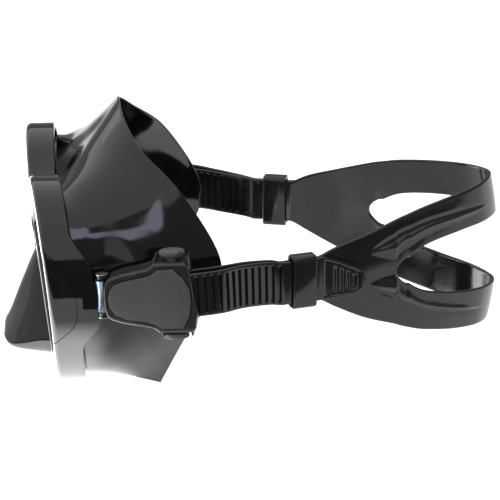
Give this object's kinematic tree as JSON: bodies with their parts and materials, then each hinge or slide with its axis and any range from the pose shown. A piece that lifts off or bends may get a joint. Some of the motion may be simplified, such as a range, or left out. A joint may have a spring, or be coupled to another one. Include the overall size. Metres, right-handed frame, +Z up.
{
  "type": "diving mask",
  "caption": "Black two-lens diving mask with a silicone skirt and nose pocket, a split rubber head strap, and swivelling push-button strap buckles.",
  "frame": {"origin": "on the surface it stands on, under the middle of its bounding box", "axes": "+Z up as worn, -Y the way the wearer looks, +Y towards the back of the head, +X to the wearer's left"},
  "size_m": [0.1918, 0.2384, 0.133],
  "materials": {
    "silicone": "glossy",
    "gloss_plastic": "gloss",
    "matte_plastic": "fine matte texture",
    "glass": "clear tempered",
    "steel": "brushed stainless",
    "strap_rubber": "satin"
  },
  "bodies": {
    "mask": {"skirt": "silicone", "frame": "gloss_plastic", "bezel_left": "gloss_plastic", "bezel_right": "gloss_plastic", "lens_left": "glass", "lens_right": "glass", "swivel_pin_left": "steel", "swivel_pin_right": "steel"},
    "strap": {"strap": "strap_rubber"},
    "buckle_left": {"buckle_body_left": "gloss_plastic", "buckle_cover_left": "gloss_plastic", "buckle_pad_left": "matte_plastic", "roller_pin_left": "steel", "pawl_pin_left": "steel", "button_spring_upper_left": "steel", "button_spring_lower_left": "steel"},
    "upper_button_left": {"button_upper_left": "matte_plastic"},
    "lower_button_left": {"button_lower_left": "matte_plastic"},
    "pawl_left": {"pawl_left": "matte_plastic"},
    "roller_left": {"strap_roller_left": "steel"},
    "keeper_left": {"strap_keeper_left": "strap_rubber"},
    "buckle_right": {"buckle_body_right": "gloss_plastic", "buckle_cover_right": "gloss_plastic", "buckle_pad_right": "matte_plastic", "roller_pin_right": "steel", "pawl_pin_right": "steel", "button_spring_upper_right": "steel", "button_spring_lower_right": "steel"},
    "upper_button_right": {"button_upper_right": "matte_plastic"},
    "lower_button_right": {"button_lower_right": "matte_plastic"},
    "pawl_right": {"pawl_right": "matte_plastic"},
    "roller_right": {"strap_roller_right": "steel"},
    "keeper_right": {"strap_keeper_right": "strap_rubber"}
  },
  "joints": [
    {"name": "strap_feed", "type": "slide", "parent": "mask", "child": "strap", "axis": [0, -1, 0], "range_m": [0, 0.012], "deforming": ["strap"]},
    {"name": "buckle_left_swivel", "type": "hinge", "parent": "mask", "child": "buckle_left", "pos_m": [0.081, -0.07388, 0.06204], "axis": [0.0091, 0.0515, -0.9986], "range_deg": [-5, 22], "deforming": ["strap"]},
    {"name": "button_upper_left_press", "type": "slide", "parent": "buckle_left", "child": "upper_button_left", "axis": [0.0091, 0.0515, -0.9986], "range_m": [0, 0.0016], "stiffness_N_per_m": 400, "springref_m": -0.0015, "deforming": ["button_spring_upper_left"]},
    {"name": "button_lower_left_press", "type": "slide", "parent": "buckle_left", "child": "lower_button_left", "axis": [-0.0091, -0.0515, 0.9986], "range_m": [0, 0.0016], "stiffness_N_per_m": 400, "springref_m": -0.0015, "deforming": ["button_spring_lower_left"]},
    {"name": "pawl_left_lift", "type": "hinge", "parent": "buckle_left", "child": "pawl_left", "pos_m": [0.08712, -0.06279, 0.06266], "axis": [0.0091, 0.0515, -0.9986], "range_deg": [0, 1.7]},
    {"name": "roller_left_spin", "type": "hinge", "parent": "buckle_left", "child": "roller_left", "pos_m": [0.08551, -0.04831, 0.0634], "axis": [-0.0091, -0.0515, 0.9986], "continuous": true},
    {"name": "keeper_left_slide", "type": "slide", "parent": "mask", "child": "keeper_left", "axis": [-0.2924, 0.9563, 0], "range_m": [-0.004, 0.004]},
    {"name": "buckle_right_swivel", "type": "hinge", "parent": "mask", "child": "buckle_right", "pos_m": [-0.081, -0.07388, 0.06204], "axis": [0.0091, -0.0515, 0.9986], "range_deg": [-5, 22], "deforming": ["strap"]},
    {"name": "button_upper_right_press", "type": "slide", "parent": "buckle_right", "child": "upper_button_right", "axis": [-0.0091, 0.0515, -0.9986], "range_m": [0, 0.0016], "stiffness_N_per_m": 400, "springref_m": -0.0015, "deforming": ["button_spring_upper_right"]},
    {"name": "button_lower_right_press", "type": "slide", "parent": "buckle_right", "child": "lower_button_right", "axis": [0.0091, -0.0515, 0.9986], "range_m": [0, 0.0016], "stiffness_N_per_m": 400, "springref_m": -0.0015, "deforming": ["button_spring_lower_right"]},
    {"name": "pawl_right_lift", "type": "hinge", "parent": "buckle_right", "child": "pawl_right", "pos_m": [-0.08712, -0.06279, 0.06266], "axis": [0.0091, -0.0515, 0.9986], "range_deg": [0, 1.7]},
    {"name": "roller_right_spin", "type": "hinge", "parent": "buckle_right", "child": "roller_right", "pos_m": [-0.08551, -0.04831, 0.0634], "axis": [0.0091, -0.0515, 0.9986], "continuous": true},
    {"name": "keeper_right_slide", "type": "slide", "parent": "mask", "child": "keeper_right", "axis": [0.2924, 0.9563, 0], "range_m": [-0.004, 0.004]}
  ],
  "couplings": [
    {"joint": "button_lower_left_press", "follows": "button_upper_left_press", "ratio": 1},
    {"joint": "pawl_left_lift", "follows": "button_upper_left_press", "rad_per_m": 18.3},
    {"joint": "button_lower_right_press", "follows": "button_upper_right_press", "ratio": 1},
    {"joint": "pawl_right_lift", "follows": "button_upper_right_press", "rad_per_m": 18.3}
  ]
}
